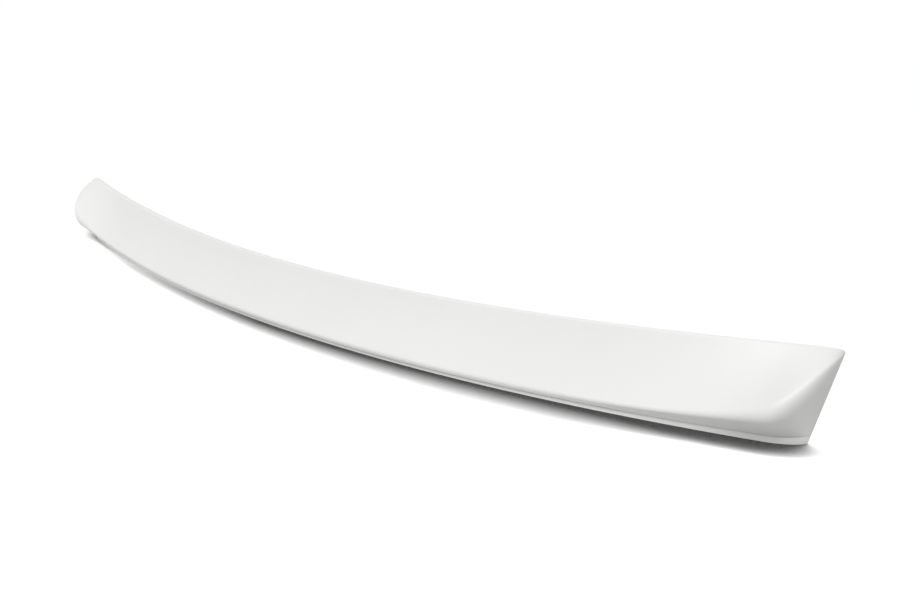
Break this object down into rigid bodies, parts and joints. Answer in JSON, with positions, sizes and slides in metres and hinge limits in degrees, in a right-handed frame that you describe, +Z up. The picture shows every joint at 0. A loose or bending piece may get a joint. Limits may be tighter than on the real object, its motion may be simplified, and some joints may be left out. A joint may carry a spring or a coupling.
{
  "type": "car boot-lid lip spoiler",
  "caption": "Lip spoiler for a car's boot lid: a bowed, hollow moulded blade whose lower bend swells and climbs into rounded, flared end corners; it bonds on along a flat rim.",
  "frame": {"origin": "on the flat bonding rim, halfway along the spoiler, in the middle of the rim's rear land", "axes": "+X runs along the spoiler to the car's right, +Y points to the front of the car, +Z is up from the lid"},
  "size_m": [1.2068, 0.1289, 0.094],
  "materials": {
    "gelcoat": "satin white gelcoat"
  },
  "bodies": {
    "root": {"spoiler_shell": "gelcoat"}
  },
  "joints": []
}
